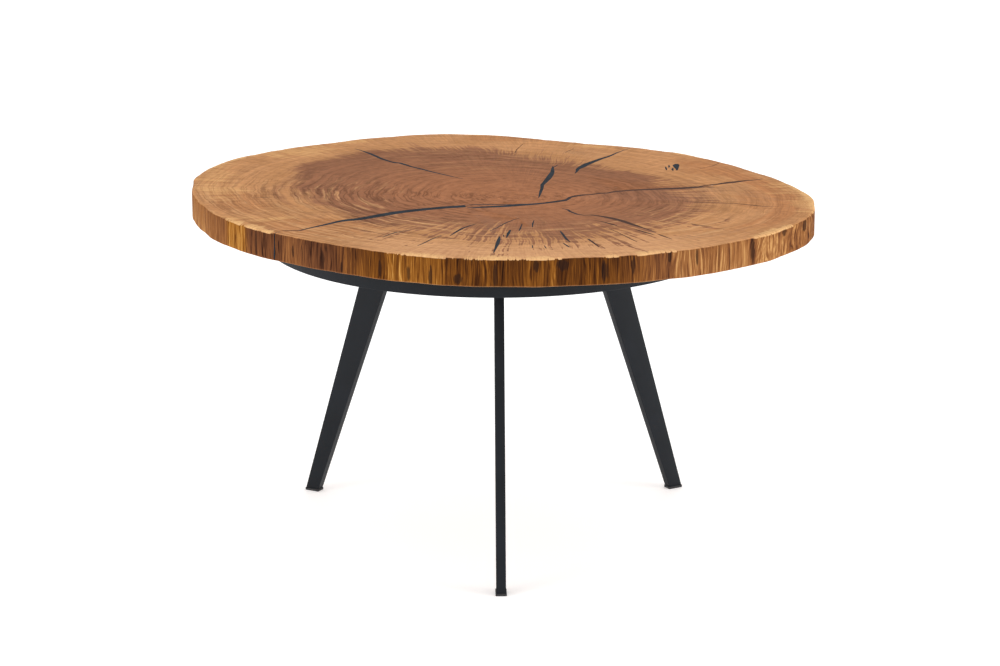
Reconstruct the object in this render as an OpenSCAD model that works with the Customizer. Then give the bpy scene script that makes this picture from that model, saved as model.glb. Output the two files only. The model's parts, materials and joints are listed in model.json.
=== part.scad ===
// Round coffee table: a live-edge slice of a tree trunk on a welded three-legged steel base.
// Origin on the floor under the middle of the table, +Z up, front leg towards -Y.
// All lengths are in millimetres and all angles in degrees.

/* [Slab] */
// Height of the table top above the floor
table_h = 443; // [400:1:500]
// Mean radius of the slab's live edge
slab_r = 366; // [340:1:400]
// Thickness of the slab
slab_t = 35; // [32:1:50]
// Radius of the eased edge round the top face
top_ease = 3; // [1:0.5:5]
// Radius of the eased edge round the underside
under_ease = 2; // [1:0.5:5]
// Height of the small ripples that the bark left in the edge
ripple = 0.8; // [0:0.1:1.5]

/* [Resin in the checks] */
// Depth of the resin poured into the open checks
resin_depth = 14; // [6:1:16]
// How far the end of a check stays inside the slab's edge
check_margin = 6; // [5:1:15]
// Width of the check that runs down the edge
edge_check_w = 2.5; // [1.5:0.5:5]
// Depth of that check, measured inwards from the edge
edge_check_depth = 12; // [8:1:20]
// Direction in which that check lies
edge_check_dir = 218; // [212:1:226]

/* [Ring] */
// How far the middle of the base lies from the middle of the table, along X
base_x = -5; // [-10:0.5:10]
// Outer radius of the hoop under the slab
ring_r = 294; // [270:1:300]
// Height of the hoop and of the rails inside it
ring_h = 28.5; // [24:0.5:36]
// Thickness of the hoop's flat bar
ring_t = 5; // [4:0.5:8]
// Thickness of the three rails
rail_t = 10; // [8:1:12]
// Radius of the boss in which the rails meet
boss_r = 20; // [16:1:28]

/* [Legs] */
// Thickness of the leg plates
leg_t = 12; // [8:1:14]
// Width of a leg where it meets the rail
leg_top_w = 44; // [36:1:50]
// Width of a leg at its foot
leg_foot_w = 19; // [16:1:26]
// Distance from the middle of the table to the outside of a leg's top
leg_top_out = 177; // [165:1:190]
// Distance from the middle of the table to the outside of a leg's foot
leg_foot_out = 290; // [260:1:310]

/* [Foot pads] */
// Thickness of a foot pad
pad_t = 3; // [2:0.5:6]
// How far the pad stands out round the end of the leg
pad_lip = 1; // [0.5:0.5:2]
// Radius of the pad's corners
pad_corner = 1.5; // [0.5:0.5:2]
// Radius of the spigot that holds the pad in the leg
spigot_r = 2.5; // [2:0.25:3.5]
// Length of the spigot
spigot_h = 10; // [6:1:14]

/* [Fixings] */
// Thickness of the plates and tabs that the slab is screwed to
plate_t = 4; // [3:0.5:6]
// Width of a leg plate, along the rail
leg_plate_w = 70; // [60:1:90]
// Length of a leg plate, across the rail
leg_plate_l = 90; // [80:1:110]
// Distance of a leg plate's two slots from each other
leg_plate_pitch = 60; // [52:1:70]
// Width of a tab on the hoop
tab_w = 40; // [32:1:50]
// How far a tab reaches inwards from the hoop
tab_l = 32; // [28:1:40]
// Distance from the hoop to a tab's slot
tab_slot_in = 17; // [15:1:18]
// Radius of the corners of the plates and tabs
plate_corner = 6; // [2:1:8]
// Nominal diameter of the screws
screw_d = 6; // [5:1:6]
// Width across the flats of the screw heads
screw_af = 10; // [9:1:11]
// Height of the screw heads
screw_head_h = 4; // [3:0.5:5]
// Width of a slot, a little more than the screw
slot_w = 7; // [6.5:0.5:8]
// Length of a slot from end to end
slot_l = 16; // [12:1:18]
// Outer diameter of the washers
washer_d = 14; // [12:1:16]
// Thickness of the washers
washer_t = 1.5; // [1:0.5:2.5]
// Outer diameter of the threaded inserts
insert_d = 10; // [9:1:12]
// Length of the threaded inserts
insert_h = 13; // [10:1:14]
// Space round a screw in its insert and a spigot in its hole
clearance = 0.1; // [0.05:0.05:0.3]

/* [Hidden] */

// Directions of the legs, and of the tabs midway between them
front = -90;
rear_right = 30;
rear_left = 150;
rear = 90;
front_left = 210;
front_right = -30;
leg_dirs = [front, rear_right, rear_left];
tab_dirs = [rear, front_left, front_right];

// Levels above the floor
slab_z = table_h - slab_t;
rail_z = slab_z - ring_h;
plate_z = slab_z - plate_t;
washer_z = plate_z - washer_t;
ring_in = ring_r - ring_t;
leg_top_mid = leg_top_out - leg_top_w / 2;
leg_foot_mid = leg_foot_out - leg_foot_w / 2;
slot_r = slot_w / 2;
insert_floor = 1;
edge_steps = 160;
ease_steps = 3;
cut = 1;

// The slab is drawn at this mean radius, and grows or shrinks with slab_r
drawn_r = 366;
grain = slab_r / drawn_r;

// Swells of the live edge: how many round the slab, how high, and the direction of a crest
swells = [[1, 10.5, -128], [2, 34.5, -25.5], [3, 4, -11], [4, 4, -11], [5, 2.5, -35], [6, 3.5, -20], [7, 3, -4]];
// Ripples of the edge: how many round the slab, share of the ripple height, direction of a crest
ripples = [[23, 1, 10], [37, 0.6, 3], [53, 0.4, 5]];

// Checks in the wood as ribbons through hand-placed points: [x, y, width] on the slab as drawn
long_check = [
    [[-268, -207, 1], [-251, -210, 2], [-243, -202, 3], [-233, -192, 4], [-222, -182, 5.5],
     [-212, -172, 6], [-201, -161, 7.5], [-192, -155, 10], [-178, -150, 11.5], [-160, -137, 12.5],
     [-151, -130, 13.5], [-132, -116, 13.5], [-117, -108, 12.5], [-97, -99, 12], [-71, -89, 11.5],
     [-45, -83, 11.5]],
    [[-54, -80, 1], [-46, -77, 2.5], [-27, -74, 3.5], [-2, -74, 3.5], [16, -76, 2.5]],
    [[-43, -91, 1.5], [-36, -92, 5], [-20, -88, 7.5], [-8, -86, 9], [4, -84, 10], [15, -80, 11],
     [24, -77, 11], [33, -76, 8.5], [53, -69, 6.5], [71, -59, 8], [80, -54, 8], [84, -48, 5],
     [88, -37, 5.5], [96, -29, 7.5], [106, -24, 6.5], [115, -22, 5], [127, -15, 6], [136, -14, 5],
     [146, -6, 5.5], [169, 2, 6], [206, 8, 8], [232, 11, 10], [253, 17, 9], [264, 18, 5], [276, 17, 2]],
    [[250, 16, 2], [264, 27, 3.5], [278, 32, 5.5], [295, 42, 8], [303, 45, 8], [312, 50, 6.5],
     [321, 54, 4.5], [331, 57, 3], [342, 63, 1.5]]
];
rear_left_check = [
    [-190, 259, 1], [-178, 243, 3], [-168, 226, 5], [-152, 193, 5], [-141, 177, 4.5], [-135, 171, 6],
    [-129, 169, 5], [-122, 159, 5.5], [-113, 146, 4], [-100, 131, 4.5], [-87, 115, 3.5], [-65, 91, 2.5],
    [-46, 71, 1]
];
rear_wide_checks = [
    [[48, -39, 1], [50, -21, 2.5], [52, -2, 4], [54, 14, 4], [55, 34, 5], [59, 50, 6], [64, 71, 7.5],
     [68, 91, 7.5], [71, 110, 5.5], [72, 129, 4], [73, 144, 1.5]],
    [[72, 134, 1.5], [76, 143, 2], [80, 153, 1]],
    [[100, 100, 1], [103, 113, 3], [105, 127, 5.5], [110, 138, 8], [114, 147, 9], [118, 156, 9],
     [123, 164, 8.5], [128, 172, 7.5], [138, 188, 6], [148, 201, 5], [153, 209, 4], [162, 226, 2.5],
     [171, 240, 1.5], [181, 253, 1]]
];
front_checks = [
    [[-15, -325, 1], [-12, -302, 3], [-9, -276, 5], [-7, -257, 4], [-6, -242, 1]],
    [[2, -251, 1], [5, -228, 4], [8, -210, 2]],
    [[-1, -246, 1], [-1, -235, 1.5]],
    [[-66, -240, 1], [-58, -219, 3], [-51, -202, 3.5], [-41, -187, 2.5], [-33, -178, 1]],
    [[-71, -256, 1], [-63, -252, 1.5]],
    [[-105, -288, 1], [-98, -276, 2], [-88, -255, 2], [-76, -235, 1]],
    [[-147, -244, 1], [-140, -232, 2], [-132, -221, 2.5], [-123, -213, 2], [-113, -207, 1]],
    [[-17, -215, 1], [-7, -196, 1.5], [3, -174, 2], [14, -156, 1.5], [21, -149, 1]],
    [[18, -217, 1], [20, -204, 2], [23, -179, 1]],
    [[35, -197, 1], [36, -179, 2], [38, -161, 1]],
    [[32, -286, 1], [32, -301, 1.5]],
    [[46, -290, 1], [48, -304, 1.5]],
    [[68, -216, 1], [70, -229, 3], [72, -244, 3], [74, -259, 3.5], [78, -274, 1]],
    [[69, -278, 1.5], [74, -293, 3], [76, -300, 1]],
    [[100, -258, 3], [106, -279, 3], [111, -299, 1.5]],
    [[128, -206, 1], [137, -224, 1.5], [145, -243, 1.5], [152, -261, 2], [158, -274, 1]]
];
right_checks = [
    [[75, -99, 1.5], [82, -105, 3.5], [85, -116, 4], [93, -130, 4], [101, -135, 3], [110, -134, 3.5],
     [122, -141, 5.5], [134, -152, 7.5], [146, -166, 8], [157, -184, 7], [163, -193, 5.5],
     [168, -201, 3.5], [174, -210, 2.5], [184, -228, 1]],
    [[158, -208, 1], [165, -218, 3], [171, -226, 3.5], [176, -233, 3], [181, -240, 1]],
    [[185, -235, 1], [189, -242, 3], [194, -251, 2.5], [201, -262, 1]],
    [[109, -160, 1], [121, -169, 2.5], [134, -185, 4], [139, -192, 1.5]],
    [[229, -183, 1], [237, -190, 3], [245, -194, 2], [254, -200, 1]],
    [[231, -63, 1], [265, -72, 1.5], [293, -75, 2], [317, -87, 3], [330, -93, 2], [343, -91, 1]]
];
knot_pockets = [
    [[234, 116, 2], [235, 123, 3], [235, 134, 6.5], [235, 143, 9], [236, 149, 8.5], [237, 155, 4]],
    [[229, 114, 1.5], [229, 122, 3], [230, 130, 1.5]],
    [[225, 133, 1.5], [226, 140, 2.5], [226, 148, 1.5]],
    [[221, 118, 1.5], [221, 127, 2.5], [221, 138, 1.5]]
];
hairlines = [
    [[37, 283, 1], [28, 248, 1], [25, 227, 1]],
    [[105, 252, 1], [92, 229, 1]],
    [[-314, -31, 1], [-301, -30, 1.5], [-289, -27, 1]],
    [[266, 126, 1], [283, 141, 1], [293, 158, 1.5]]
];

// Height of a set of waves in direction a
function waves(set, scale, a) =
    scale * [for (w = set) w[1] * cos(w[0] * (a - w[2]))] * [for (w = set) 1];

// Radius of the live edge in direction a
function edge_r(a) = grain * (drawn_r + waves(swells, 1, a)) + waves(ripples, ripple, a);

// One closed ring of points round the live edge, drawn in by an inset, at one height
function edge_ring(inset, z) = [
    for (i = [0:edge_steps - 1])
        let (a = i * 360 / edge_steps, r = edge_r(a) - inset) [r * cos(a), r * sin(a), z]
];

// The edge's section from the underside to the top: a quarter round, a straight rise, a quarter round
function edge_section() = concat(
    [for (i = [0:ease_steps]) let (f = 90 * i / ease_steps)
        [under_ease * (1 - sin(f)), slab_z + under_ease * (1 - cos(f))]],
    [for (i = [0:ease_steps]) let (f = 90 * i / ease_steps)
        [top_ease * (1 - cos(f)), table_h - top_ease * (1 - sin(f))]]
);

// Unit vector across a ribbon at its point i
function across(path, i) =
    let (a = path[max(i - 1, 0)], b = path[min(i + 1, len(path) - 1)], d = [b[0] - a[0], b[1] - a[1]])
    [-d[1], d[0]] / norm(d);

// One side of a ribbon: +1 for the left, -1 for the right
function ribbon_side(path, side) = [
    for (i = [0:len(path) - 1])
        [path[i][0], path[i][1]] + across(path, i) * side * path[i][2] / 2
];

module ribbon(path) {
    left = ribbon_side(path, 1);
    right = ribbon_side(path, -1);
    polygon(concat(left, [for (i = [len(right) - 1:-1:0]) right[i]]));
}

// Everything inside the live edge by the given margin
module slab_plan(margin) {
    polygon([for (p = edge_ring(margin, 0)) [p[0], p[1]]]);
}

// The space of one or more checks, open at the top of the slab
module check_space(paths) {
    translate([0, 0, table_h - resin_depth])
        linear_extrude(resin_depth)
            intersection() {
                scale([grain, grain]) for (path = paths) ribbon(path);
                slab_plan(check_margin);
            }
}

// The space of the check that runs down the edge, right through the slab
module edge_check_space() {
    r = edge_r(edge_check_dir);
    rotate(edge_check_dir)
        translate([r - edge_check_depth, -edge_check_w / 2, slab_z - cut])
            cube([2 * edge_check_depth, edge_check_w, slab_t + 2 * cut]);
}

module slab_blank() {
    section = edge_section();
    last = len(section) - 1;
    n = edge_steps;
    points = [for (s = section) each edge_ring(s[0], s[1])];
    sides = [
        for (k = [0:last - 1], i = [0:n - 1])
            let (a = k * n + i, b = k * n + (i + 1) % n)
            each [[a, a + n, b + n], [a, b + n, b]]
    ];
    polyhedron(points, concat(
        [[for (i = [0:n - 1]) i]],
        sides,
        [[for (i = [n - 1:-1:0]) last * n + i]]
    ));
}

// Puts what is drawn at radius r in direction a from the middle of the base
module at(a, r) {
    translate([base_x, 0, 0]) rotate(a) translate([r, 0, 0]) children();
}

// Puts what is drawn at each place where a screw holds the slab
module each_screw() {
    for (a = leg_dirs, side = [-1, 1])
        at(a, leg_top_mid) translate([0, side * leg_plate_pitch / 2, 0]) children();
    for (a = tab_dirs) at(a, ring_in - tab_slot_in) children();
}

module rounded_rect(w, l, r) {
    square([w - 2 * r, l], center = true);
    square([w, l - 2 * r], center = true);
    for (x = [-1, 1], y = [-1, 1])
        translate([x * (w / 2 - r), y * (l / 2 - r)]) circle(r, $fn = 32);
}

// A slot that runs along the radius, so that the slab can swell and shrink
module slot() {
    square([slot_l - slot_w, slot_w], center = true);
    for (x = [-1, 1]) translate([x * (slot_l - slot_w) / 2, 0]) circle(slot_r, $fn = 32);
}

module slab_top() {
    color("peru") difference() {
        slab_blank();
        check_space(long_check);
        check_space([rear_left_check]);
        check_space(rear_wide_checks);
        check_space(front_checks);
        check_space(right_checks);
        check_space(knot_pockets);
        check_space(hairlines);
        edge_check_space();
        each_screw() translate([0, 0, slab_z - cut])
            cylinder(r = insert_d / 2, h = insert_h + insert_floor + cut, $fn = 48);
    }
}

module resin(paths) {
    color("darkslategray") check_space(paths);
}

module resin_edge_check() {
    color("darkslategray") intersection() {
        slab_blank();
        edge_check_space();
    }
}

module apron_ring() {
    color("dimgray") translate([base_x, 0, rail_z]) difference() {
        cylinder(r = ring_r, h = ring_h, $fn = 180);
        translate([0, 0, -cut]) cylinder(r = ring_in, h = ring_h + 2 * cut, $fn = 180);
    }
}

module centre_boss() {
    color("dimgray") translate([base_x, 0, rail_z]) cylinder(r = boss_r, h = ring_h, $fn = 64);
}

// A flat bar on edge from the boss to the hoop, cut down where the leg plate lies on it
module rail(a) {
    color("dimgray") at(a, 0) difference() {
        translate([0, 0, rail_z]) intersection() {
            translate([0, -rail_t / 2, 0]) cube([ring_r, rail_t, ring_h]);
            cylinder(r = ring_in, h = ring_h, $fn = 180);
        }
        translate([0, 0, rail_z - cut]) cylinder(r = boss_r, h = ring_h + 2 * cut, $fn = 64);
        translate([leg_top_mid - leg_plate_w / 2, -rail_t, plate_z])
            cube([leg_plate_w, 2 * rail_t, plate_t + cut]);
    }
}

// A tapered plate in the plane of its rail, leaning outwards down to its pad
module leg(a) {
    lean = (leg_foot_out - leg_top_out) / rail_z;
    spread = (leg_foot_out - leg_foot_w - leg_top_out + leg_top_w) / rail_z;
    color("dimgray") at(a, 0) difference() {
        translate([0, leg_t / 2, 0]) rotate([90, 0, 0]) linear_extrude(leg_t)
            polygon([
                [leg_foot_out - leg_foot_w - spread * pad_t, pad_t],
                [leg_foot_out - lean * pad_t, pad_t],
                [leg_top_out, rail_z],
                [leg_top_out - leg_top_w, rail_z]
            ]);
        translate([leg_foot_mid - pad_t * (lean + spread) / 2, 0, pad_t - cut])
            cylinder(r = spigot_r + clearance, h = spigot_h + 2 * cut, $fn = 48);
    }
}

module leg_plate(a) {
    color("dimgray") at(a, leg_top_mid) translate([0, 0, plate_z])
        linear_extrude(plate_t) difference() {
            rounded_rect(leg_plate_w, leg_plate_l, plate_corner);
            for (side = [-1, 1]) translate([0, side * leg_plate_pitch / 2]) slot();
        }
}

// A tab welded inside the hoop, flush with its top
module ring_tab(a) {
    color("dimgray") at(a, 0) translate([0, 0, plate_z]) linear_extrude(plate_t) difference() {
        intersection() {
            translate([ring_in, 0]) rounded_rect(2 * tab_l, tab_w, plate_corner);
            circle(ring_in, $fn = 180);
        }
        translate([ring_in - tab_slot_in, 0]) slot();
    }
}

// A pad under the end of a leg, with rounded corners and a spigot that is pushed into the leg
module foot_pad(a) {
    lean = (leg_foot_out - leg_top_out) / rail_z;
    spread = (leg_foot_out - leg_foot_w - leg_top_out + leg_top_w) / rail_z;
    shift = pad_t * (lean + spread) / 2;
    color("black") at(a, leg_foot_mid - shift) {
        linear_extrude(pad_t) rounded_rect(leg_foot_w + 2 * pad_lip, leg_t + 2 * pad_lip, pad_corner);
        translate([0, 0, pad_t]) cylinder(r = spigot_r, h = spigot_h, $fn = 48);
    }
}

module threaded_inserts() {
    color("goldenrod") each_screw() translate([0, 0, slab_z]) difference() {
        cylinder(r = insert_d / 2, h = insert_h, $fn = 48);
        translate([0, 0, -cut]) cylinder(r = screw_d / 2 + clearance, h = insert_h + 2 * cut, $fn = 48);
    }
}

// Six-sided heads under the washers, shanks up into the inserts
module slab_screws() {
    color("silver") each_screw() {
        translate([0, 0, washer_z - screw_head_h])
            cylinder(r = screw_af / 2 / cos(30), h = screw_head_h, $fn = 6);
        translate([0, 0, washer_z]) cylinder(r = screw_d / 2, h = slab_z + insert_h - washer_z, $fn = 48);
    }
}

module screw_washers() {
    color("silver") each_screw() translate([0, 0, washer_z]) difference() {
        cylinder(r = washer_d / 2, h = washer_t, $fn = 48);
        translate([0, 0, -cut]) cylinder(r = screw_d / 2 + clearance, h = washer_t + 2 * cut, $fn = 48);
    }
}

slab_top();
resin(long_check);  // resin_long_check
resin([rear_left_check]);  // resin_rear_left_check
resin(rear_wide_checks);  // resin_rear_wide_checks
resin(front_checks);  // resin_front_checks
resin(right_checks);  // resin_right_checks
resin(knot_pockets);  // resin_knot
resin(hairlines);  // resin_hairlines
resin_edge_check();
apron_ring();
centre_boss();
rail(front);  // rail_front
rail(rear_right);  // rail_rear_right
rail(rear_left);  // rail_rear_left
leg(front);  // leg_front
leg(rear_right);  // leg_rear_right
leg(rear_left);  // leg_rear_left
leg_plate(front);  // leg_plate_front
leg_plate(rear_right);  // leg_plate_rear_right
leg_plate(rear_left);  // leg_plate_rear_left
ring_tab(rear);  // ring_tab_rear
ring_tab(front_left);  // ring_tab_front_left
ring_tab(front_right);  // ring_tab_front_right
foot_pad(front);  // foot_pad_front
foot_pad(rear_right);  // foot_pad_rear_right
foot_pad(rear_left);  // foot_pad_rear_left
threaded_inserts();
slab_screws();
screw_washers();
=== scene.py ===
"""Looks of a round coffee table: a live-edge trunk slice with resin-filled checks on a black steel base."""
import json
import math

import bmesh
import bpy
import numpy as np
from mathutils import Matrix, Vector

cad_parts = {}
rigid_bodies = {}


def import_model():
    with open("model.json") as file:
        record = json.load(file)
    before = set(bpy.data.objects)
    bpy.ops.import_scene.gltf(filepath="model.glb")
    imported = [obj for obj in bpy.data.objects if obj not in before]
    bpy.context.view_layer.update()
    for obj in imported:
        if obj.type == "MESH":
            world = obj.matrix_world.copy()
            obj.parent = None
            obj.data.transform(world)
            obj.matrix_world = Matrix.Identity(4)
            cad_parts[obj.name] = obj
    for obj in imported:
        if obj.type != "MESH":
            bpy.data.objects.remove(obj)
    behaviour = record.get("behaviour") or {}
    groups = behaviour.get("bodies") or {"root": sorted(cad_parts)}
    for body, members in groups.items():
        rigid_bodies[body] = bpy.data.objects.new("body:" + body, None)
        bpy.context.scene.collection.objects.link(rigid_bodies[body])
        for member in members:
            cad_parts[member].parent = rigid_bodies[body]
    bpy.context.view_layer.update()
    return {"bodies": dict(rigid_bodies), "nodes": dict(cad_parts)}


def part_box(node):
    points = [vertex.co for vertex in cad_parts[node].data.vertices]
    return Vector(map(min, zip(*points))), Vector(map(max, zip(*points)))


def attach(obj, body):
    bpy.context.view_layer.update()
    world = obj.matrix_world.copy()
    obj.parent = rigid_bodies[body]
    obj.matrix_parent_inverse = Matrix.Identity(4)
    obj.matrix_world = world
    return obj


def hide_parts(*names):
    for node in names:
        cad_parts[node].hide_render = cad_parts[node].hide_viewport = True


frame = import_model()
nodes = frame["nodes"]

MM = 0.001
BODY = "root" if "root" in frame["bodies"] else sorted(frame["bodies"])[0]

# Camera: its place in metres, and where it looks, as a photographer would note them
CAMERA_BACK = 4.184
CAMERA_HEIGHT = 1.4055
CAMERA_TURN = math.radians(1.29)
CAMERA_DIP = math.radians(15.37)
LENS = 121.12
SENSOR = 36.0

# Slab, in millimetres: its faces, its eased edges, and the steps of the grid that is its skin
SLAB_LOW, SLAB_HIGH = (corner.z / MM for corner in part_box("slab_top"))
SLAB_THICK = SLAB_HIGH - SLAB_LOW
TOP_EASE = 3.0
UNDER_EASE = 2.0
ROUND_STEPS = 1440
RISE_STEPS = 16
EASE_STEPS = 5
CAP_INSETS = (9.0, 30.0)

# Outline: how near a height a corner counts as at it, in millimetres, the even turns at which the CAD's
# corners are read, and the terms kept of their series; then the points and turns from which its waves round
# another point are found
SAME_HEIGHT = 0.05
OUTLINE_STEPS = 320
OUTLINE_TERMS = 80
EDGE_SAMPLES = 2048
WAVE_SAMPLES = 256

# Relief of the bark side, in millimetres: how deep each kind is carved, and the rise where the chips begin
SKIN_DEPTH = 0.12
FLUTE_DEPTH = 0.45
GROOVE_DEPTH = 0.5
FINE_DEPTH = 0.22
CHIP_DEPTH = 2.6
CHIPS_FROM = 0.62

# Resin strip down the edge, in millimetres: its turn round the slab, its size, how far it wanders sideways
# and stands proud of the wood, its levels, and the shares of the slab's rise over which its ends are eased
STRIP_TURN = math.radians(218)
STRIP_WIDTH = 2.3
STRIP_DEPTH = 10.0
STRIP_WANDER = 1.2
STRIP_PROUD = 0.05
STRIP_LEVELS = 15
STRIP_TOP_EASE = 0.06
STRIP_UNDER_EASE = 0.05

# Room cut for the castings, in millimetres: corners this near the top are carried this far above it, and the
# strip's cutter stands this far outside the slab and runs this far past its faces
NEAR_TOP = 0.5
CUT_ABOVE = 2.0
STRIP_CUT_PROUD = 6.0
STRIP_CUT_ABOVE = 3.0

# Rounded edges of the coated steel and of the moulded pads, in millimetres
STEEL_EASE = 0.7
PAD_EASE = 0.5
EASE_SEGMENTS = 3

# Grain, in millimetres: the pith, how far its rings are bent and over what length, the rings' place at the
# live edge, the top of the heartwood's scale, and its radius every 22.5 degrees from -X round by -Y
PITH_X, PITH_Y = 25.0, -35.0
BEND = 26.0
BEND_SWELL = 95.0
RING_REACH = 365.0
HEART_REACH = 400.0
HEARTWOOD = (286, 246, 215, 222, 228, 236, 243, 236, 220, 211, 203, 205, 258, 335, 348, 325, 286)

# Patches of pale sapwood and of redder wood on the top, in millimetres: x, y, half width, half depth
PALE_PATCHES = (
    (-374, 98, 26, 80), (-352, 10, 22, 40), (-268, 246, 34, 30), (-205, 308, 26, 14), (132, 272, 22, 12),
    (372, 12, 26, 26), (384, -75, 16, 50), (-308, -146, 40, 12),
)
RED_PATCHES = (
    (335, -60, 40, 70), (290, 140, 60, 60), (-230, -190, 90, 50), (60, 325, 110, 24), (-330, -60, 40, 60),
)

# Small brown marks on the top, in millimetres: past the long check's end and at the left
BROWN_MARKS = ((-256, -208, 15, 2.8), (-379, -69, 3, 5))

# Pale lips of the top's edge: turn in degrees and 0, half width in degrees and depth in millimetres
PALE_LIPS = (
    (-154, 0, 3.2, 9), (-149, 0, 2.8, 17), (-144, 0, 2, 8), (-106.5, 0, 5.2, 9), (-92.5, 0, 5.5, 13),
    (-83.5, 0, 4, 10), (-70, 0, 1.6, 7), (-61.5, 0, 4, 12), (-34, 0, 5.5, 12), (-5, 0, 14, 12), (40, 0, 6, 8),
    (96, 0, 9, 8), (150, 0, 14, 9),
)

# Tone of the bark side, 0 dark to 1 pale, at turns in degrees from -X round by -Y to +X, and the two scales
# of colour that it is read on, as 0 to 255 on screen: golden at the front, tan elsewhere
BARK_TONES = (
    (-175, 0.78), (-168, 0.76), (-165, 0.65), (-158.5, 0.65), (-156, 0.78), (-151, 0.77), (-149.5, 0.43),
    (-143, 0.37), (-139.9, 0.32), (-139, 0.57), (-134.5, 0.51), (-133, 0.36), (-127, 0.37), (-121, 0.49),
    (-114.6, 0.43), (-113.4, 0.66), (-102.4, 0.61), (-101, 0.34), (-95.6, 0.39), (-94, 0.61), (-92.6, 0.37),
    (-90, 0.37), (-87.4, 0.38), (-85.8, 0.54), (-84.4, 0.41), (-82.8, 0.42), (-81.4, 0.63), (-80.4, 0.30),
    (-75.5, 0.41), (-72, 0.33), (-66.5, 0.43), (-65.5, 0.58), (-58.6, 0.52), (-57.4, 0.75), (-50, 0.68),
    (-42, 0.74), (-40.6, 0.5), (-39, 0.82), (-34, 0.76), (-30, 0.66), (-8, 0.64),
)
GOLDEN_WOOD = (
    (0.0, (28, 15, 10)), (0.25, (68, 37, 17)), (0.42, (94, 54, 21)), (0.62, (122, 74, 27)),
    (0.8, (152, 99, 41)), (1.0, (196, 146, 78)),
)
TAN_WOOD = (
    (0.0, (34, 20, 16)), (0.25, (76, 45, 29)), (0.42, (101, 62, 39)), (0.62, (125, 79, 45)),
    (0.8, (148, 99, 58)), (1.0, (188, 140, 87)),
)

# Dark flecks of the bark side: turn and rise from 0 to 1, half width in degrees and half height in rise
DARK_FLECKS = (
    (-147, 0.5, 0.35, 0.6), (-137, 0.5, 0.3, 0.25), (-134.3, 0.45, 0.25, 0.3), (-129.2, 0.4, 0.45, 0.38),
    (-124.6, 0.2, 0.4, 0.22), (-115.5, 0.4, 0.4, 0.28), (-109.4, 0.35, 0.4, 0.32), (-104.8, 0.3, 0.4, 0.38),
    (-99.2, 0.25, 1.0, 0.2), (-92.3, 0.4, 0.3, 0.5), (-84.4, 0.75, 0.5, 0.22), (-79.5, 0.75, 1.2, 0.2),
    (-71.5, 0.5, 0.7, 0.45), (-66.1, 0.6, 0.28, 0.34), (-58.8, 0.79, 0.35, 0.18), (-53.3, 0.64, 0.28, 0.33),
    (-48.5, 0.6, 0.15, 0.4), (-40.6, 0.55, 0.5, 0.5), (-31.3, 0.86, 0.8, 0.16), (-23.8, 0.78, 1.0, 0.2),
)

# Colours of the wood and the finishes, as 0 to 255 on screen
HEART_CORE = (154, 102, 70)
HEART_RIM = (136, 91, 65)
HEART_FRONT = (144, 98, 70)
SAP_DULL = (174, 124, 81)
SAP_WARM = (184, 133, 90)
SAP_FRONT = (198, 148, 106)
RED_WOOD = (166, 112, 72)
STAINED_WOOD = (122, 82, 63)
LIGHT_RING = (190, 142, 98)
PALE_WOOD = (208, 160, 106)
BROWN_WOOD = (98, 62, 42)
LIP_WOOD = (226, 182, 126)
FLECK_WOOD = (38, 25, 21)
# Painted highlight along the bark side's eased lower edge
FOOT_HIGHLIGHT = (166, 104, 60)
GRAIN_SHADES = ((0.25, (84, 66, 58)), (0.5, (188, 188, 188)), (0.75, (252, 250, 246)))
RESIN_CLOUDS = ((0.35, (32, 36, 41)), (0.7, (45, 50, 57)))
HAIRLINE_CLOUDS = ((0.35, (54, 38, 30)), (0.7, (80, 56, 42)))
THIN_RESIN = (78, 51, 38)
COAT_CLOUDS = ((0.3, (13, 17, 22)), (0.7, (20, 24, 30)))
PLASTIC_SCUFFS = ((0.35, (24, 24, 26)), (0.75, (44, 44, 46)))
ZINC_MARKS = ((0.3, (150, 152, 156)), (0.7, (196, 198, 202)))
BRASS_MARKS = ((0.3, (176, 138, 74)), (0.7, (214, 178, 108)))

# Studio, in metres and watts: the floor's half width, shade and glow, the strength of the white surroundings,
# the point that the lamps face, and each lamp's name, place, size and power
FLOOR_REACH = 12.0
FLOOR_SHADE = 0.93
FLOOR_GLOW = 0.27
WORLD_STRENGTH = 1.02
LAMP_AIM = (0, 0, 0.35)
LAMPS = (
    ("left", (-3.0, -1.8, 1.2), 1.6, 30),
    ("right", (3.2, -1.2, 1.0), 1.6, 40),
    ("back", (0.4, 3.0, 2.6), 2.0, 10),
)

RESINS = (
    "resin_long_check", "resin_rear_left_check", "resin_rear_wide_checks",
    "resin_front_checks", "resin_right_checks", "resin_knot", "resin_hairlines",
)
LEGS = ("leg_front", "leg_rear_right", "leg_rear_left")
RAILS = ("rail_front", "rail_rear_right", "rail_rear_left")
LEG_PLATES = ("leg_plate_front", "leg_plate_rear_right", "leg_plate_rear_left")
RING_TABS = ("ring_tab_rear", "ring_tab_front_left", "ring_tab_front_right")
FOOT_PADS = ("foot_pad_front", "foot_pad_rear_right", "foot_pad_rear_left")


def paint(red, green, blue):
    """A colour given as 0 to 255 on screen, turned into linear light: the sRGB curve undone."""
    screen = np.array([red, green, blue]) / 255
    light = np.where(screen <= 0.04045, screen / 12.92, ((screen + 0.055) / 1.055) ** 2.4)
    return (*[float(v) for v in light], 1.0)


def add_camera():
    """The photographer's camera: a long lens, a little to the left of the front and looking down."""
    camera = bpy.data.cameras.new("camera")
    camera.lens = LENS
    camera.sensor_width = SENSOR
    camera.sensor_fit = "HORIZONTAL"
    camera.clip_end = 100
    holder = bpy.data.objects.new("camera", camera)
    holder.location = (
        -CAMERA_BACK * math.sin(CAMERA_TURN), -CAMERA_BACK * math.cos(CAMERA_TURN), CAMERA_HEIGHT,
    )
    holder.rotation_euler = (math.pi / 2 - CAMERA_DIP, 0, -CAMERA_TURN)
    bpy.context.scene.collection.objects.link(holder)
    bpy.context.scene.camera = holder


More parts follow.
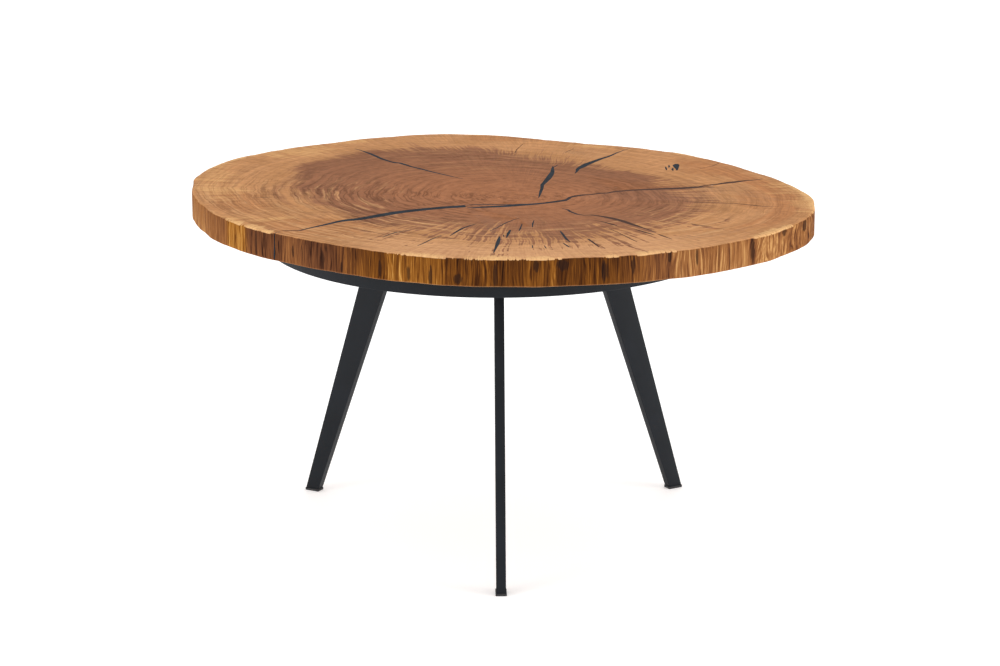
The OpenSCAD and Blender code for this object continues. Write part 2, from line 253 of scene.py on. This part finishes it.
class Wire:
    """A socket whose arithmetic adds Math nodes to its finish."""

    def __init__(self, finish, socket):
        self.finish = finish
        self.socket = socket

    def math(self, operation, *inputs):
        """One Math node on these inputs, each a number or a wire."""
        return self.finish.node("ShaderNodeMath", {"operation": operation}, dict(enumerate(inputs)))

    def __add__(self, other):
        return self.math("ADD", self, other)

    def __sub__(self, other):
        return self.math("SUBTRACT", self, other)

    def __rsub__(self, other):
        return self.math("SUBTRACT", other, self)

    def __mul__(self, other):
        return self.math("MULTIPLY", self, other)

    def __truediv__(self, other):
        return self.math("DIVIDE", self, other)

    def __pow__(self, other):
        return self.math("POWER", self, other)

    __radd__ = __add__
    __rmul__ = __mul__

    def cos(self):
        return self.math("COSINE", self)

    def sin(self):
        return self.math("SINE", self)

    def abs(self):
        return self.math("ABSOLUTE", self)

    def max(self, other):
        return self.math("MAXIMUM", self, other)

    def ramp(self, low, high):
        """0 at low, 1 at high, with a smooth start and end; low may lie above high."""
        return self.finish.node(
            "ShaderNodeMapRange", {"interpolation_type": "SMOOTHSTEP", "clamp": True},
            {"Value": self, "From Min": low, "From Max": high},
        )


class Finish:
    """A material in the making, with its shader."""

    def __init__(self, name, **constants):
        self.material = bpy.data.materials.new(name)
        self.material.use_nodes = True
        self.tree = self.material.node_tree
        self.shader = self.tree.nodes["Principled BSDF"]
        for socket, value in constants.items():
            self.shader.inputs[socket.replace("_", " ")].default_value = value

    def node(self, kind, settings=None, inputs=None, output=0):
        """Adds one node: its settings first, then its sockets, each a value or a wire."""
        made = self.tree.nodes.new(kind)
        for name, value in (settings or {}).items():
            if name == "stops":
                self.set_stops(made.color_ramp, value)
            elif name == "blend_between":
                made.color_ramp.interpolation = value
            else:
                setattr(made, name, value)
        for key, value in (inputs or {}).items():
            if isinstance(value, Wire):
                self.tree.links.new(value.socket, made.inputs[key])
            else:
                made.inputs[key].default_value = value
        return Wire(self, made.outputs[output])

    def set_stops(self, ramp, stops):
        """Puts these stops, each a place from 0 to 1 and a colour, on a ramp in place of its own."""
        while len(ramp.elements) > 1:
            ramp.elements.remove(ramp.elements[-1])
        for place, (position, colour) in enumerate(stops):
            stop = ramp.elements[0] if place == 0 else ramp.elements.new(position)
            stop.position = position
            stop.color = colour

    def place(self):
        """The point on the piece, in millimetres, as three wires."""
        point = self.node("ShaderNodeTexCoord", output=3)
        split = [self.node("ShaderNodeSeparateXYZ", inputs={0: point}, output=i) for i in range(3)]
        return [axis * (1 / MM) for axis in split]

    def turn(self, x, y):
        """The angle round the upright axis, -pi to pi, in radians."""
        return self.node("ShaderNodeMath", {"operation": "ARCTAN2"}, {0: y, 1: x})

    def vector(self, x, y, z):
        """Three numbers or wires joined into one vector."""
        return self.node("ShaderNodeCombineXYZ", inputs={0: x, 1: y, 2: z})

    def noise(self, x, y, z, detail=2.0, rough=0.5):
        """Smooth noise from 0 to 1 with one swell for each unit of x, y and z."""
        return self.node(
            "ShaderNodeTexNoise", {"noise_dimensions": "3D"},
            {"Vector": self.vector(x, y, z), "Scale": 1.0, "Detail": detail, "Roughness": rough},
        )

    def mix(self, share, first, second, blend="MIX"):
        """First colour where share is 0, second where it is 1; each a wire or a painted colour."""
        return self.node(
            "ShaderNodeMix", {"data_type": "RGBA", "blend_type": blend},
            {0: share, 6: first, 7: second}, output=2,
        )

    def blend(self, share, first, second):
        """First number where share is 0, second where it is 1."""
        return first * (1 - share) + second * share

    def reach(self, turn, mid_x, mid_y, count):
        """How far the live edge lies from a point at a turn, from its first few waves."""
        mean, waves = reach_waves(mid_x, mid_y, count)
        return sum((height * (turn * n + phase).cos() for n, height, phase in waves), start=mean)

    def patches(self, x, y, places, ragged):
        """1 inside any of some ovals and 0 outside, with ragged edges."""
        inside = [
            ((((x - mid_x) / wide) ** 2 + ((y - mid_y) / deep) ** 2) + ragged).ramp(1.15, 0.55)
            for mid_x, mid_y, wide, deep in places
        ]
        found = inside[0]
        for more in inside[1:]:
            found = found.max(more)
        return found

    def colours(self, value, stops, between="LINEAR"):
        """The colour at a value, read off stops in linear light."""
        return self.node("ShaderNodeValToRGB", {"blend_between": between, "stops": stops}, {0: value})

    def tints(self, value, scale):
        """The colour at a value, read off a scale of screen colours."""
        return self.colours(value, [(place, paint(*tint)) for place, tint in scale])

    def use(self, **wires):
        """Links each wire to the shader's socket of that name."""
        for socket, wire in wires.items():
            self.tree.links.new(wire.socket, self.shader.inputs[socket.replace("_", " ")])

    def bump(self, height, distance, strength=1.0):
        """Height from 0 to 1 stands for this many millimetres."""
        self.use(Normal=self.node(
            "ShaderNodeBump", inputs={"Strength": strength, "Distance": distance * MM, "Height": height}))


def reach_waves(mid_x, mid_y, count):
    """The live edge's radius seen from a point as a mean and waves: the outline's Fourier series."""
    turns = np.arange(WAVE_SAMPLES) * math.tau / WAVE_SAMPLES
    edge = live_edge(np.linspace(0, math.tau, EDGE_SAMPLES, endpoint=False))
    across = edge[:, 0] - mid_x
    along = edge[:, 1] - mid_y
    seen = np.interp(turns, *sorted_turn(np.arctan2(along, across), np.hypot(across, along)), period=math.tau)
    series = np.fft.rfft(seen) / len(turns)
    waves = [(n, 2 * abs(series[n]), float(np.angle(series[n]))) for n in range(1, count + 1)]
    return float(series[0].real), waves


def sorted_turn(turn, value):
    """Turns in rising order, with their values."""
    order = np.argsort(turn)
    return turn[order], value[order]


def live_edge(turn):
    """Points of the slab's outline at these turns: the corners at the foot of the CAD slab's upright side,
    joined smoothly by the first waves of their Fourier series."""
    mesh = nodes["slab_top"].data
    points = np.empty(len(mesh.vertices) * 3)
    mesh.vertices.foreach_get("co", points)
    points = points.reshape(-1, 3) / MM
    at_rise = np.abs(points[:, 2] - (SLAB_LOW + UNDER_EASE)) < SAME_HEIGHT
    ring = points[at_rise]
    turns, radii = sorted_turn(np.arctan2(ring[:, 1], ring[:, 0]), np.hypot(ring[:, 0], ring[:, 1]))
    steps = np.arange(OUTLINE_STEPS) * math.tau / OUTLINE_STEPS
    series = np.fft.rfft(np.interp(steps, turns, radii, period=math.tau)) / OUTLINE_STEPS
    n = np.arange(1, OUTLINE_TERMS)
    swell = 2 * (series[1:OUTLINE_TERMS] * np.exp(1j * np.outer(turn, n))).real.sum(axis=1)
    radius = series[0].real + swell
    return np.stack([radius * np.cos(turn), radius * np.sin(turn)], axis=1)


def ripple(turn, cells, seed):
    """Noise from -1 to 1 round the slab: seeded values at even turns, joined by a cosine ease."""
    values = np.random.default_rng(seed).uniform(-1, 1, cells)
    place = (turn / math.tau % 1) * cells
    first = np.floor(place).astype(int)
    ease = (1 - np.cos((place - first) * math.pi)) / 2
    return values[first % cells] * (1 - ease) + values[(first + 1) % cells] * ease


def bark_relief(turn, height):
    """How deep the live edge is carved at a turn and a height, in millimetres: long upright flutes of
    three widths, each drifting a little with the height, and chips that are deepest at the top."""
    rise = (height - SLAB_LOW) / SLAB_THICK
    drift = turn + 0.006 * ripple(turn, 60, 1) * rise
    flutes = FLUTE_DEPTH * (1 + ripple(drift, 150, 2)) / 2
    grooves = GROOVE_DEPTH * np.clip(ripple(drift, 420, 3) - 0.2, 0, 1)
    fine = FINE_DEPTH * (1 + ripple(drift + 0.002 * np.sin(9 * rise), 900, 4)) / 2
    chipped = np.clip(ripple(turn, 70, 5) - 0.15, 0, 1) * np.clip(0.5 + ripple(turn, 260, 6), 0, 1)
    chips = CHIP_DEPTH * chipped * np.clip((rise - CHIPS_FROM) / (1 - CHIPS_FROM), 0, 1) ** 2
    return SKIN_DEPTH + flutes + grooves + fine + chips


def slab_section():
    """The edge's section as height, inset and share of relief, from the underside's cap to the top's."""
    under = np.linspace(0, math.pi / 2, EASE_STEPS)
    over = np.linspace(0, math.pi / 2, EASE_STEPS + 2)
    rise = np.linspace(SLAB_LOW + UNDER_EASE, SLAB_HIGH - TOP_EASE, RISE_STEPS)[1:-1]
    caps = np.array(CAP_INSETS)
    height = np.concatenate([
        np.full(2, SLAB_LOW), SLAB_LOW + UNDER_EASE * (1 - np.cos(under)), rise,
        SLAB_HIGH - TOP_EASE * (1 - np.sin(over)), np.full(2, SLAB_HIGH),
    ])
    inset = np.concatenate([
        caps[::-1], UNDER_EASE * (1 - np.sin(under)), np.zeros(len(rise)),
        TOP_EASE * (1 - np.cos(over)), caps,
    ])
    relief = np.where(inset < CAP_INSETS[0], 1.0, 0.0)
    return height, inset, relief


def mesh_object(name, points, faces, smooth_under=math.radians(50)):
    """A new object from points in millimetres and faces, its edges smooth below an angle."""
    mesh = bpy.data.meshes.new(name)
    mesh.from_pydata((points * MM).tolist(), [], faces)
    mesh.update()
    mesh.shade_smooth()
    mesh.set_sharp_from_angle(angle=smooth_under)
    made = bpy.data.objects.new(name, mesh)
    bpy.context.scene.collection.objects.link(made)
    return made


def grid_faces(rows, columns):
    """Four-cornered faces of a grid that closes round its columns."""
    row, column = np.meshgrid(np.arange(rows - 1), np.arange(columns), indexing="ij")
    after = (column + 1) % columns
    corners = [row * columns + column, row * columns + after,
               (row + 1) * columns + after, (row + 1) * columns + column]
    return np.stack(corners, axis=-1).reshape(-1, 4).tolist()


def build_slab():
    """The slab's skin: the outline carried round the section, drawn in by the inset and the relief."""
    turn = np.arange(ROUND_STEPS) * math.tau / ROUND_STEPS
    edge = live_edge(turn)
    radius = np.hypot(edge[:, 0], edge[:, 1])
    height, inset, share = slab_section()
    carved = bark_relief(turn[None, :], height[:, None]) * share[:, None]
    reach = radius[None, :] - inset[:, None] - carved
    points = np.stack([
        reach * np.cos(turn), reach * np.sin(turn), np.broadcast_to(height[:, None], reach.shape),
    ], axis=-1)
    faces = grid_faces(len(height), ROUND_STEPS)
    last = (len(height) - 1) * ROUND_STEPS
    faces.append(list(range(ROUND_STEPS))[::-1])
    faces.append(list(range(last, last + ROUND_STEPS)))
    return mesh_object("live_edge_slab", points.reshape(-1, 3), faces)


def edge_strip(name, proud, above):
    """The resin strip down the live edge: a bar whose outer face stands proud of the wood by this much and
    runs past the top and underside by the given height. Its middle wanders sideways as a sine of the
    height, and its width swells and shrinks as another."""
    height = np.linspace(SLAB_LOW - above, SLAB_HIGH + above, STRIP_LEVELS)
    rise = (height - SLAB_LOW) / SLAB_THICK
    edge = live_edge(np.array([STRIP_TURN]))[0]
    radius = math.hypot(*edge)
    carved = bark_relief(np.full(STRIP_LEVELS, STRIP_TURN), np.clip(height, SLAB_LOW, SLAB_HIGH))
    outer = radius + proud - carved
    if above == 0:
        outer = outer - TOP_EASE * np.clip((rise - (1 - STRIP_TOP_EASE)) / STRIP_TOP_EASE, 0, 1) ** 2
        outer = outer - UNDER_EASE * np.clip((STRIP_UNDER_EASE - rise) / STRIP_UNDER_EASE, 0, 1) ** 2
    inner = np.full(STRIP_LEVELS, radius - STRIP_DEPTH)
    middle = STRIP_WANDER * np.sin(2.2 * rise)
    half = STRIP_WIDTH / 2 * (0.7 + 0.3 * np.sin(5 * rise + 1))
    along = np.stack([inner, outer, outer, inner], axis=1)
    across = np.stack([middle - half, middle - half, middle + half, middle + half], axis=1)
    cos, sin = math.cos(STRIP_TURN), math.sin(STRIP_TURN)
    points = np.stack([
        along * cos - across * sin, along * sin + across * cos,
        np.broadcast_to(height[:, None], along.shape),
    ], axis=-1)
    faces = grid_faces(STRIP_LEVELS, 4)
    last = (STRIP_LEVELS - 1) * 4
    faces += [[3, 2, 1, 0], [last, last + 1, last + 2, last + 3]]
    return mesh_object(name, points.reshape(-1, 3), faces, math.radians(30))


def merged_copy(node, name):
    """A copy of a CAD node with its loose triangles joined and its flat faces made whole."""
    mesh = nodes[node].data.copy()
    mesh.name = name
    shape = bmesh.new()
    shape.from_mesh(mesh)
    bmesh.ops.remove_doubles(shape, verts=shape.verts, dist=1e-6)
    bmesh.ops.dissolve_limit(
        shape, angle_limit=math.radians(0.2), verts=shape.verts, edges=shape.edges, delimit={"NORMAL"})
    shape.to_mesh(mesh)
    shape.free()
    made = bpy.data.objects.new(name, mesh)
    bpy.context.scene.collection.objects.link(made)
    return made


def apply_modifiers(piece):
    """Makes the piece's modifiers part of its mesh."""
    with bpy.context.temp_override(object=piece, active_object=piece, selected_objects=[piece]):
        for modifier in list(piece.modifiers):
            bpy.ops.object.modifier_apply(modifier=modifier.name)


def cut_checks(slab):
    """Takes the room of every resin casting out of the slab, open at the top."""
    for node in RESINS:
        cutter = merged_copy(node, "cutter")
        mesh = cutter.data
        points = np.empty(len(mesh.vertices) * 3)
        mesh.vertices.foreach_get("co", points)
        points = points.reshape(-1, 3)
        points[:, 2] += np.where(points[:, 2] > (SLAB_HIGH - NEAR_TOP) * MM, CUT_ABOVE * MM, 0)
        mesh.vertices.foreach_set("co", points.ravel())
        mesh.update()
        cut_away(slab, cutter)
    cut_away(slab, edge_strip("cutter", STRIP_CUT_PROUD, STRIP_CUT_ABOVE))


def cut_away(piece, cutter):
    """Takes the cutter's room out of the piece and the cutter out of the scene."""
    modifier = piece.modifiers.new("check", "BOOLEAN")
    modifier.operation = "DIFFERENCE"
    modifier.solver = "MANIFOLD"
    modifier.object = cutter
    apply_modifiers(piece)
    bpy.data.objects.remove(cutter)


def softened(node, name, width, material):
    """A CAD node with its edges rounded as the coating or the mould leaves them, in place of the node."""
    piece = merged_copy(node, name)
    piece.data.shade_smooth()
    bevel = piece.modifiers.new("soft edges", "BEVEL")
    bevel.width = width * MM
    bevel.segments = EASE_SEGMENTS
    bevel.limit_method = "ANGLE"
    bevel.angle_limit = math.radians(40)
    bevel.harden_normals = True
    apply_modifiers(piece)
    dress(piece, material)
    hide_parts(node)


def dress(piece, material):
    """Gives a piece its finish and its body."""
    piece.data.materials.clear()
    piece.data.materials.append(material)
    piece.data.polygons.foreach_set("material_index", np.zeros(len(piece.data.polygons), dtype=np.int32))
    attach(piece, BODY)


def trunk_slice():
    """Oiled wood: end grain on the flat faces, upright bark-side grain round the live edge."""
    wood = Finish("trunk_slice", Specular_IOR_Level=0.006)
    x, y, z = wood.place()
    edge_turn = wood.turn(x, y)
    inset = wood.reach(edge_turn, 0, 0, 7) - (x * x + y * y) ** 0.5
    chips = wood.noise(edge_turn.cos() * 34, edge_turn.sin() * 34, 4.0, 3.0, 0.6) - 0.5
    fringe = wood.noise(x / 5, y / 5, 14.0, 3.0, 0.6) - 0.5
    bristle = wood.noise(edge_turn.cos() * 120, edge_turn.sin() * 120, inset / 40, 2.0, 0.6) - 0.5
    lips = wood.patches(edge_turn * (180 / math.pi), inset, PALE_LIPS, chips * 3 + fringe * 3 + bristle * 4)
    rim = (SLAB_HIGH - z + chips * 1.4 - lips * 1.2).ramp(0.6, 1.6) * (z - SLAB_LOW).ramp(0.1, 0.8)
    top, top_height = end_grain(wood, x, y, edge_turn, inset)
    side, side_height = bark_side(wood, edge_turn, z)
    top = wood.mix(lips * (bristle * 1.8 + fringe + 0.6), top, paint(*LIP_WOOD))
    pores = wood.noise(x / 1.1, y / 1.1, z / 1.1, 2.0, 0.7)
    wood.use(Base_Color=wood.mix(rim, top, side), Roughness=0.46 + pores * 0.16 + rim * 0.1)
    wood.bump(top_height * (1 - rim) + side_height * rim + pores * 0.15, 0.35, 0.6)
    return wood.material


def end_grain(wood, x, y, edge_turn, inset):
    """Colour and height of the flat faces: growth rings and rays round the pith, dark heartwood that runs
    out in fingers at the front, pale patches in the sapwood, and a red arc inside the right of the edge.
    Each noise is named for what it draws, and each share for the part of the slab where it is 1."""
    across = x + (wood.noise(x / BEND_SWELL, y / BEND_SWELL, 3.0) - 0.5) * BEND - PITH_X
    along = y + (wood.noise(x / BEND_SWELL, y / BEND_SWELL, 9.0) - 0.5) * BEND - PITH_Y
    turn = wood.turn(across, along)
    cos, sin = turn.cos(), turn.sin()
    radius = (across * across + along * along) ** 0.5
    wander = (wood.noise(x / 18, y / 18, 5.0) - 0.5) * 6
    ring = radius / wood.reach(turn, PITH_X, PITH_Y, 4) * RING_REACH + wander

    rings = wood.noise(ring / 7, cos * 1.5, sin * 1.5, 3.0, 0.6) - 0.5
    bands = wood.noise(ring / 17, cos * 2.6, sin * 2.6, 3.0, 0.6) - 0.5
    lines = wood.noise(ring / 9, cos * 1.6, sin * 1.6, 2.0, 0.7) - 0.5
    rays = wood.noise(cos * 150, sin * 150, ring / 60, 2.0, 0.6) - 0.5
    narrow = wood.noise(cos * 50, sin * 50, ring / 130, 2.0, 0.6) - 0.5
    broad = wood.noise(cos * 19, sin * 19, ring / 240, 2.0, 0.5) - 0.5
    blotch = wood.noise(x / 60, y / 60, 21.0, 3.0, 0.55) - 0.5
    mottle = wood.noise(x / 9, y / 9, 33.0, 3.0, 0.6) - 0.5
    fringe = wood.noise(x / 4, y / 4, 41.0, 2.0, 0.6) - 0.5

    front = (sin * -1).ramp(0.3, 0.85)
    left = (cos * -1).ramp(0.1, 0.8)
    right = cos.ramp(0.75, 1.0)
    rear = sin.ramp(0.7, 1.0)
    corner = (turn + 0.62).abs().ramp(0.42, 0.1)
    faded = left * sin.ramp(0.55, 0.1)
    heart_edge = (
        heart_radius(wood, turn)
        + broad * (24 + front * 110)
        + narrow * (30 + front * 330 + rear * 70 + right * 150)
        + rays * (30 + front * 70 + rear * 110 + right * 130)
        + bands * (40 + faded * 150 + front * 170 + corner * 110)
        + blotch * (44 + corner * 90)
    )
    heart = ((heart_edge - radius) / (faded * 1.8 + rear * 0.8 + 1)).ramp(-12.0, 14.0)
    deep = (radius / heart_edge).ramp(0.2, 0.95)
    heart_tone = wood.mix(deep, paint(*HEART_CORE), wood.mix(front, paint(*HEART_RIM), paint(*HEART_FRONT)))
    sap_tone = wood.mix(blotch.ramp(-0.2, 0.2), paint(*SAP_DULL), paint(*SAP_WARM))
    fresh = (sin * -1).ramp(0.6, 0.95) * (radius - 220).ramp(0.0, 70.0)
    sap_tone = wood.mix(fresh * 0.85, sap_tone, paint(*SAP_FRONT))
    colour = wood.mix(heart, sap_tone, heart_tone)

    arc = inset.ramp(14.0, 26.0) * inset.ramp(55.0, 49.0) * (edge_turn + blotch).abs().ramp(0.78, 0.45)
    red = wood.patches(x, y, RED_PATCHES, blotch * 2.0) * 0.5
    colour = wood.mix(red.max(arc * 0.8) * (1 - heart), colour, paint(*RED_WOOD))
    stain = narrow.ramp(0.02, 0.12) * front
    stain = stain * (heart_edge + 12 - radius).ramp(0.0, 30.0) * (radius - 110).ramp(0.0, 60.0)
    quills = rays.ramp(0.06, 0.16) * rear
    quills = quills * (radius - 180).ramp(0.0, 30.0) * (radius - 320).ramp(0.0, -50.0)
    colour = wood.mix((stain * 0.45).max(quills * 0.55), colour, paint(*STAINED_WOOD))

    light_rings = wood.noise(ring / 6, cos * 3.4, sin * 3.4, 2.0, 0.6).ramp(0.52, 0.66)
    light_rings = light_rings * (faded * 0.8 + front * 0.9 + rear * 0.4 + corner * 0.6 + 0.1)
    light_rings = light_rings * (radius - 130).ramp(0.0, 70.0)
    colour = wood.mix(light_rings * 0.7, colour, paint(*LIGHT_RING))
    pale = wood.patches(x, y, PALE_PATCHES, rays * 6 + narrow * 12 + mottle)
    colour = wood.mix(pale * 0.5, colour, paint(*PALE_WOOD))
    marks = wood.patches(x, y, BROWN_MARKS, mottle * 2 + fringe)
    colour = wood.mix(marks * 0.7, colour, paint(*BROWN_WOOD))

    crisp = heart * 0.35 + right * 0.25 + 0.65
    ring_lines = lines.abs().ramp(0.07, 0.0) * (faded * 0.14 + 0.1)
    grain = (rings * (0.5 - front * 0.2) - ring_lines) * crisp + rays * 0.34 + mottle * 0.34 + 0.52
    colour = wood.mix(0.5, colour, wood.tints(grain, GRAIN_SHADES), "OVERLAY")
    return colour, grain


def heart_radius(wood, turn):
    """The heartwood's radius at a turn, read off a smooth ramp through its listed radii."""
    count = len(HEARTWOOD) - 1
    stops = [(i / count, (r / HEART_REACH,) * 3 + (1.0,)) for i, r in enumerate(HEARTWOOD)]
    return wood.colours(turn / math.tau + 0.5, stops, "B_SPLINE") * HEART_REACH


def bark_side(wood, turn, z):
    """Colour and height of the live edge: upright bands of dark brown, brown and gold, as BARK_TONES has them
    at the front and as noise has them behind, under strokes, threads and dark flecks, with a painted
    highlight along the lower edge. The grain leans and curls where wild is 1, at the front right, and is
    plainer where calm is 1, at the left."""
    rise = (z - SLAB_LOW) / SLAB_THICK
    degrees = turn * (180 / math.pi)
    wild = degrees.ramp(-42.0, -38.0) * degrees.ramp(30.0, 10.0)
    calm = degrees.ramp(-138.0, -141.0) * degrees.ramp(-180.0, -168.0)
    lean = wood.noise(turn.cos() * 24, turn.sin() * 24, z / 60, 1.0) - 0.5
    lean = lean * (rise - 0.5) * (wild * 0.14 + 0.06)
    cos, sin = (turn + lean).cos(), (turn + lean).sin()
    ragged = wood.noise(cos * 75, sin * 75, z / 22, 3.0, 0.6) - 0.5
    seen = seen_tones(wood, degrees + ragged * 3.5)
    behind = (wood.noise(cos * 11, sin * 11, 6.0, 3.0, 0.6) - 0.5) * 2.2 + 0.5
    tone = wood.blend(degrees.ramp(-22.0, 2.0) * degrees.ramp(177.0, 171.0), seen, behind)

    strokes = wood.noise(cos * 85, sin * 85, z / 90, 2.0, 0.6) - 0.5
    threads = wood.noise(cos * 190, sin * 190, z / 55, 3.0, 0.65) - 0.5
    hairs = wood.noise(cos * 320, sin * 320, z / 40, 3.0, 0.65)
    glints = wood.noise(cos * 150, sin * 150, z / 70 + 5, 1.0, 0.5).ramp(0.62, 0.74)
    leaves = wood.noise(cos * 115, sin * 115, z / 34 + 9, 1.0, 0.5).ramp(0.62, 0.72)
    lively = (wood.noise(cos * 8, sin * 8, 17.0, 2.0, 0.5) + 0.5) * (1 - calm * 0.35)
    burr = (wood.noise(cos * 60, sin * 60, z / 14, 2.0, 0.6) - 0.5) * wild
    flecks = wood.patches(degrees + strokes * 1.5, rise, DARK_FLECKS, ragged * 1.6 + threads * 2.4)
    tone = tone + (strokes * 0.66 + threads * 1.05 + glints * 0.12) * lively + (hairs - 0.5) * 0.8
    tone = tone - leaves * 0.28 + burr * 0.9 + (0.5 - rise) * 0.1

    golden = wood.tints(tone, GOLDEN_WOOD)
    tan = wood.tints(tone, TAN_WOOD)
    gold = (degrees + 94).abs().ramp(36.0, 22.0).max((degrees + 153.5).abs().ramp(4.5, 2.5))
    colour = wood.mix(flecks * 0.72, wood.mix(gold, tan, golden), paint(*FLECK_WOOD))
    # Painted highlight: an orange line along the eased lower edge, which faces down and would be in shade
    foot_highlight = (z - SLAB_LOW).ramp(2.2, 1.2) * (ragged + 0.2)
    return wood.mix(foot_highlight, colour, paint(*FOOT_HIGHLIGHT)), hairs


def seen_tones(wood, degrees):
    """BARK_TONES read at a turn, off one ramp for the left of the front and one for its right."""
    halves = []
    for start in (-180, -90):
        stops = [
            ((turn - start) / 90, (tone,) * 3 + (1.0,))
            for turn, tone in BARK_TONES if start <= turn <= start + 90
        ]
        halves.append(wood.colours((degrees - start) / 90, stops))
    return wood.blend(degrees.ramp(-90.4, -89.6), *halves)


def poured_resin(name, clouds):
    """Resin sanded flush, with faint clouds and scratches, and browner in the thin checks at the right."""
    resin = Finish(name, Specular_IOR_Level=0.004)
    x, y, z = resin.place()
    cloud = resin.noise(x / 14, y / 14, z / 14, 3.0, 0.6)
    scratch = resin.noise(x / 2.5, y / 0.4, z / 2.5, 2.0, 0.6)
    thin = (x - 60).ramp(0.0, 60.0) * (y - 90).ramp(0.0, -40.0)
    clouded = resin.tints(cloud, clouds)
    resin.use(Base_Color=resin.mix(thin * 0.8, clouded, paint(*THIN_RESIN)), Roughness=0.3 + scratch * 0.2)
    resin.bump(scratch, 0.03, 0.6)
    return resin.material


def black_powder_coat():
    """Black powder coat: a fine pebbled skin with slight changes of gloss."""
    coat = Finish("black_powder_coat", Specular_IOR_Level=0.19)
    x, y, z = coat.place()
    pebble = coat.noise(x / 0.7, y / 0.7, z / 0.7, 2.0, 0.6)
    cloud = coat.noise(x / 40, y / 40, z / 40, 3.0, 0.5)
    coat.use(
        Base_Color=coat.tints(cloud, COAT_CLOUDS),
        Roughness=0.42 + cloud * 0.12 + pebble * 0.1,
    )
    coat.bump(pebble, 0.06, 0.7)
    return coat.material


def moulded_plastic():
    """Matt black plastic of the pads, slightly scuffed."""
    plastic = Finish("moulded_plastic")
    x, y, z = plastic.place()
    scuff = plastic.noise(x / 3, y / 3, z / 1.2, 4.0, 0.65)
    plastic.use(
        Base_Color=plastic.tints(scuff, PLASTIC_SCUFFS),
        Roughness=0.55 + scuff * 0.2,
    )
    plastic.bump(scuff, 0.05, 0.5)
    return plastic.material


def turned_metal(name, shades):
    """Bare metal with fine turning marks round the upright axis."""
    metal = Finish(name, Metallic=1.0)
    x, y, z = metal.place()
    marks = metal.noise(x / 5, y / 5, z / 0.12, 3.0, 0.6)
    metal.use(
        Base_Color=metal.tints(marks, shades),
        Roughness=0.28 + marks * 0.22,
    )
    metal.bump(marks, 0.02, 0.5)
    return metal.material


def pale_studio():
    """Plain pale floor, white surroundings and three soft lamps, shown in plain screen colours."""
    bpy.context.scene.view_settings.view_transform = "Standard"
    floor_mesh = bpy.data.meshes.new("floor")
    corners = [(x * FLOOR_REACH, y * FLOOR_REACH, 0) for x, y in ((-1, -1), (1, -1), (1, 1), (-1, 1))]
    floor_mesh.from_pydata(corners, [], [(0, 1, 2, 3)])
    floor = bpy.data.objects.new("floor", floor_mesh)
    paper = Finish("paper", Roughness=0.95, Specular_IOR_Level=0.1, Base_Color=(*[FLOOR_SHADE] * 3, 1),
                   Emission_Color=(1, 1, 1, 1), Emission_Strength=FLOOR_GLOW)
    floor.data.materials.append(paper.material)
    bpy.context.scene.collection.objects.link(floor)
    world = bpy.data.worlds.new("studio")
    world.use_nodes = True
    world.node_tree.nodes["Background"].inputs["Color"].default_value = (1, 1, 1, 1)
    world.node_tree.nodes["Background"].inputs["Strength"].default_value = WORLD_STRENGTH
    bpy.context.scene.world = world
    for name, place, size, power in LAMPS:
        lamp = bpy.data.lights.new(name, "AREA")
        lamp.size = size
        lamp.energy = power
        holder = bpy.data.objects.new(name, lamp)
        holder.location = place
        aim = np.array(LAMP_AIM) - np.array(place)
        holder.rotation_euler = (
            math.atan2(math.hypot(aim[0], aim[1]), -aim[2]), 0, math.atan2(aim[0], -aim[1]) + math.pi)
        bpy.context.scene.collection.objects.link(holder)


def dress_table():
    """Dresses every CAD node: the slab and its edge strip made anew, the steel and the pads with soft edges,
    the rest with a finish alone."""
    wood = trunk_slice()
    resin = poured_resin("poured_resin", RESIN_CLOUDS)
    hairline = poured_resin("hairline_resin", HAIRLINE_CLOUDS)
    coat = black_powder_coat()
    plastic = moulded_plastic()
    zinc = turned_metal("zinc_plate", ZINC_MARKS)
    brass = turned_metal("insert_brass", BRASS_MARKS)
    slab = build_slab()
    cut_checks(slab)
    dress(slab, wood)
    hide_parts("slab_top")
    strip = edge_strip("edge_check_resin", STRIP_PROUD, 0)
    dress(strip, resin)
    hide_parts("resin_edge_check")
    for node in RESINS:
        nodes[node].data.materials.clear()
        nodes[node].data.materials.append(hairline if node == "resin_hairlines" else resin)
    for node in LEGS + RAILS + LEG_PLATES + RING_TABS + ("apron_ring", "centre_boss"):
        softened(node, node + "_coated", STEEL_EASE, coat)
    for node in FOOT_PADS:
        softened(node, node + "_moulded", PAD_EASE, plastic)
    for node, metal in (("slab_screws", zinc), ("screw_washers", zinc), ("threaded_inserts", brass)):
        nodes[node].data.materials.clear()
        nodes[node].data.materials.append(metal)


add_camera()
pale_studio()
dress_table()
